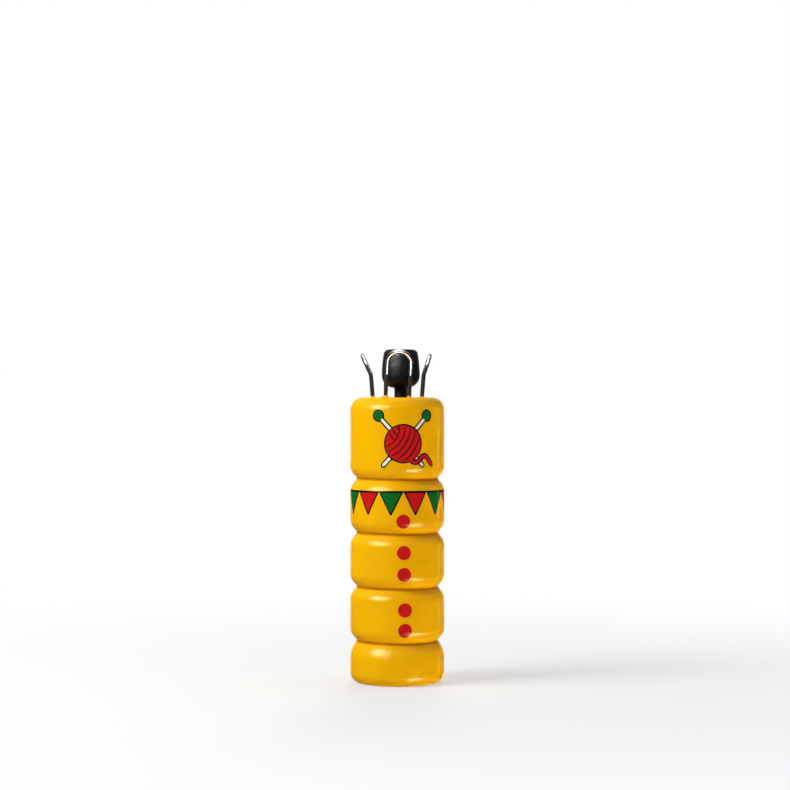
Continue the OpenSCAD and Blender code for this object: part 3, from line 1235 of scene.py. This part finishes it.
@dataclass(frozen=True)
class Softbox:
    """An oval studio lamp that faces the object and fades out towards its edge.

    Attributes:
        name: The lamp's name.
        towards: The direction from the object to the lamp.
        distance: How far away it is.
        across: Its width.
        tall: Its height.
        level: The light that a white surface facing it gets.
        tint: Its colour.
        sheds: True where it lights surfaces.
        reflected: True where gloss shows it.
        lights: The pieces that it is for.
    """

    name: str
    towards: tuple[float, float, float]
    distance: float
    across: float
    tall: float
    level: float
    tint: Colour = WHITE
    sheds: bool = True
    reflected: bool = True
    lights: Lit = Lit.ALL

    def build(self, aim: Vector, floor: Piece, pieces: dict[Lit, list[Piece]]) -> None:
        """Adds the lamp, out along its direction from the aim.

        Its power is pi squared times the level times the distance squared. The fade keeps only a share of a
        plain lamp's light, so the strength is divided by that share. The camera doesn't see the lamp, and one
        below the floor shines through it, as on a light table.

        Args:
            aim: The point that it faces.
            floor: The floor.
            pieces: The pieces that a lamp can light alone.
        """
        lamp = bpy.data.lights.new(self.name, "AREA")
        lamp.shape, lamp.size, lamp.size_y = "ELLIPSE", self.across, self.tall
        lamp.energy, lamp.color = math.pi**2 * self.level * self.distance**2, self.tint
        bench = Bench(lamp, "Emission")
        at = bench.node("NewGeometry").outputs["Parametric"]
        bench.set(Strength=bench.span(bench.distance(at, (0.5, 0.5, 0)), 0.10, 0.5, 1 / FADE_KEEPS, 0))
        holder = bpy.data.objects.new(self.name, lamp)
        out = Vector(self.towards).normalized()
        holder.location = aim + out * self.distance
        holder.rotation_mode = "QUATERNION"
        holder.rotation_quaternion = out.to_track_quat("Z", "Y")
        holder.visible_camera = False
        holder.visible_diffuse, holder.visible_glossy = self.sheds, self.reflected
        bpy.context.scene.collection.objects.link(holder)
        if out.z < 0:
            let_through = bpy.data.collections.new(f"{self.name}_passes")
            let_through.objects.link(floor)
            let_through.collection_objects[0].light_linking.link_state = "EXCLUDE"
            holder.light_linking.blocker_collection = let_through
        if self.lights in pieces:
            lit = bpy.data.collections.new(f"{self.name}_lights")
            for piece in pieces[self.lights]:
                lit.objects.link(piece)
            holder.light_linking.receiver_collection = lit
        LOG.info("lamp %s at level %.2f", self.name, self.level)


@dataclass
class Studio:
    """The floor, the lamps, the surroundings and the camera."""

    distance: float = 698.5
    view_width: float = 250.8
    eye: Place = (-0.73, 91.03)
    sensor: float = 36.0
    surround: float = 0.41
    ceiling_level: float = 0.3
    paper_level: float = 0.12
    panel_level: float = 0.08
    gap_level: float = 0.03
    backdrop_level: float = 1.0
    floor_reach: float = 6.0
    floor_drop: float = 0.00005
    floor_shared: Range = (0.21, 0.23)
    floor_seen: Range = (0.66, 0.70)
    floor_fade: Range = (0.03, 0.32)
    floor_white: Range = (0.42, 1.0)
    aim: tuple[float, float, float] = (0, 0, 0.05)
    lamps: tuple[Softbox, ...] = (
        Softbox("key", (-0.713, -0.336, 0.616), 0.62, 0.58, 0.38, 1.03, COOL, reflected=False),
        Softbox("low", (0.50, -0.55, -0.67), 1.20, 0.88, 0.56, 0.53, MILD, reflected=False),
        Softbox("right_fill", (0.85, -0.05, -0.52), 1.20, 0.60, 0.90, 0.33, MILD, reflected=False),
        Softbox("back_fill", (0.05, 0.80, 0.60), 0.90, 0.60, 0.60, 0.45, reflected=False),
        Softbox("top_fill", (0.20, 0.05, 0.98), 0.90, 0.50, 0.50, 0.22, reflected=False),
        Softbox("key_glint", (-0.67, -0.58, 0.46), 0.60, 0.78, 0.54, 2.40, WARM, False, lights=Lit.WOOD),
        Softbox("low_glint", (0.61, -0.59, -0.52), 0.56, 0.60, 0.40, 1.30, WARM, False, lights=Lit.WOOD),
        Softbox("edge_glint", (0.86, 0.51, 0.0), 0.70, 0.10, 0.50, 0.02, WARM, False, lights=Lit.WOOD),
        Softbox("hook_glint", (-0.10, -0.70, 0.70), 0.50, 0.70, 0.50, 0.90, sheds=False, lights=Lit.HOOKS),
        Softbox("hook_top", (-0.12, 0.15, 0.98), 0.50, 0.60, 1.00, 0.60, sheds=False, lights=Lit.HOOKS),
        Softbox("hook_low", (0.10, -0.72, -0.64), 0.56, 0.50, 0.34, 0.38, sheds=False, lights=Lit.HOOKS),
        Softbox("knob_glint", (-0.52, -0.60, 0.86), 0.60, 0.28, 0.18, 14.00, sheds=False, lights=Lit.KNOB),
        Softbox("needle_glint", (-0.75, -0.62, -0.15), 0.60, 0.16, 0.8, 0.16, sheds=False, lights=Lit.NEEDLE),
    )

    def camera(self) -> None:
        """Adds the level camera, whose view is the view width across at the body's axis."""
        lens = bpy.data.cameras.new("camera")
        lens.sensor_width, lens.lens = self.sensor, self.sensor * self.distance / self.view_width
        lens.clip_start, lens.clip_end = 0.01, 50.0
        holder = bpy.data.objects.new("camera", lens)
        holder.location = (self.eye[0] * MM, -self.distance * MM, self.eye[1] * MM)
        holder.rotation_euler = (QUARTER, 0, 0)
        bpy.context.scene.collection.objects.link(holder)
        bpy.context.scene.camera = holder

    def surroundings(self) -> None:
        """Makes the world.

        A grey that falls off to the upper right lights the object, and the camera sees white. Reflections see
        a room: a pale ceiling, paper below, the white backdrop behind, and walls with a panel and a gap by
        turns, a quarter of the way round each. The product of the direction's x and y, over the sum of their
        squares, picks them, so that bright metal keeps its shape from every side.
        """
        world = bpy.data.worlds.new("studio")
        bpy.context.scene.world = world
        bench = Bench(world, "Background")
        to = bench.node("SeparateXYZ", {0: bench.node("TexCoord").outputs["Generated"]})
        x, y, z = (to.outputs[axis] for axis in "XYZ")
        squares = bench.math("ADD", bench.math("MULTIPLY", x, x), bench.math("MULTIPLY", y, y))
        quarter = bench.math("DIVIDE", bench.math("MULTIPLY", x, y), bench.math("ADD", squares, 0.1))
        room = bench.span(quarter, 0.05, 0.40, self.gap_level, self.panel_level)
        for side in (
            bench.span(z, 0.15, 0.60, 0, self.ceiling_level),
            bench.span(z, -0.60, -0.15, self.paper_level, 0),
            bench.span(y, 0.84, 0.98, 0, self.backdrop_level),
        ):
            room = bench.math("MAXIMUM", room, side)
        grey = bench.span(bench.math("ADD", x, z), -1.2, 1.2, self.surround * 1.2, self.surround * 0.4)
        rays = bench.node("LightPath").outputs
        clear = bench.math("MAXIMUM", rays["Is Camera Ray"], rays["Is Transmission Ray"])
        light = bench.mix(rays["Is Glossy Ray"], grey, room)
        bench.set(Color=(*WHITE, 1), Strength=bench.mix(clear, light, 1.0))

    def floor(self) -> Piece:
        """Lays a wide pale floor, lit by the lamps near the object and plain white far from it.

        Rays that light the object meet a darker paper, which throws less of the lamps' light back up.

        Returns:
            The floor.
        """
        t = np.linspace(-self.floor_reach, self.floor_reach, 9)
        x, y = np.meshgrid(t, t, indexing="ij")
        points = np.stack([x, y, np.full_like(x, -self.floor_drop)], -1).reshape(-1, 3)
        i = (np.arange(8)[:, None] * 9 + np.arange(8)).ravel()
        mesh = bpy.data.meshes.new("floor")
        mesh.from_pydata(points.tolist(), [], np.stack([i, i + 9, i + 10, i + 1], -1).tolist())
        bench = Bench(bpy.data.materials.new("floor_paper"), "Principled BSDF")
        sight, tooth = bench.seen(), bench.noise(bench.place(), 900)
        greys = (self.floor_shared, self.floor_seen)
        shared, seen = (bench.blend(tooth, *((level,) * 3 for level in pair)) for pair in greys)
        bench.set(Base_Color=bench.blend(sight, shared, seen), Roughness=0.9, Specular_IOR_Level=0.1)
        away = bench.distance(bench.place(), (0, 0, 0))
        plain = bench.span(away, *self.floor_fade, *self.floor_white)
        shaders = {1: bench.shader.outputs[0], 2: bench.node("Emission").outputs[0]}
        whole = bench.node("MixShader", {0: bench.math("MULTIPLY", sight, plain)} | shaders)
        bench.feed(bench.tree.nodes["Material Output"].inputs["Surface"], whole.outputs[0])
        mesh.materials.append(bench.owner)
        holder = bpy.data.objects.new("floor", mesh)
        holder.visible_glossy = False
        bpy.context.scene.collection.objects.link(holder)
        return holder

    def build(self, pieces: dict[Lit, list[Piece]]) -> None:
        """Sets up the whole studio.

        Args:
            pieces: The pieces that a lamp can light alone.
        """
        bpy.context.scene.view_settings.view_transform = "Standard"
        self.camera()
        self.surroundings()
        floor = self.floor()
        for lamp in self.lamps:
            lamp.build(Vector(self.aim), floor, pieces)


# ---------------------------------------------------------------- the whole


def main() -> None:
    """Builds the nancy piece by piece, then its studio."""
    logging.basicConfig(level=logging.INFO, format="%(name)s: %(message)s")
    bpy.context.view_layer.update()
    lacquer, wood = GlossLacquer().make("yellow_lacquer"), BareWood().make("bare_wood")
    wire = DrawnMetal().make("hook_wire")
    steel = DrawnMetal((0.72, 0.72, 0.73), (0.55, 0.55, 0.56), (0.10, 0.22), 0.000003).make("needle_steel")
    plastic = MouldedPlastic().make("knob_plastic")
    looks = {
        Ink.RED: PrintInk((0.60, 0.010, 0.010)),
        Ink.GREEN: PrintInk((0.004, 0.135, 0.016)),
        Ink.BLACK: PrintInk((0.004, 0.0035, 0.0035)),
        Ink.WHITE: PrintInk((0.80, 0.79, 0.76), 0.03),
    }
    body = TurnedBody()
    wooden = [body.build(lacquer, wood)]
    hooks = (
        WireHook("front", 0, 8.5, 22, 3),
        WireHook("left", 1, 7.4, 24),
        WireHook("back", 2, 7.4, 22),
        WireHook("right", 3, 7.1, 18),
    )
    rng = np.random.default_rng(7)
    wires = [hook.build(wire) for hook in hooks]
    fillets = joined([ring for hook in hooks for ring in hook.fillets(rng)])
    wooden.append(add_piece("lacquer_fillets", fillets, [lacquer], Rides.NANCY))
    pick = Pick()
    knob, needle = [pick.build_knob(plastic)], [pick.build_needle(steel)]
    decoration = Print(body, {ink: look.make(ink.value) for ink, look in looks.items()})
    wooden += [decoration.buttons(), *decoration.bunting(), *decoration.wool()]
    Studio().build({Lit.WOOD: wooden, Lit.HOOKS: wires, Lit.KNOB: knob, Lit.NEEDLE: needle})


if __name__ == "__main__":
    main()
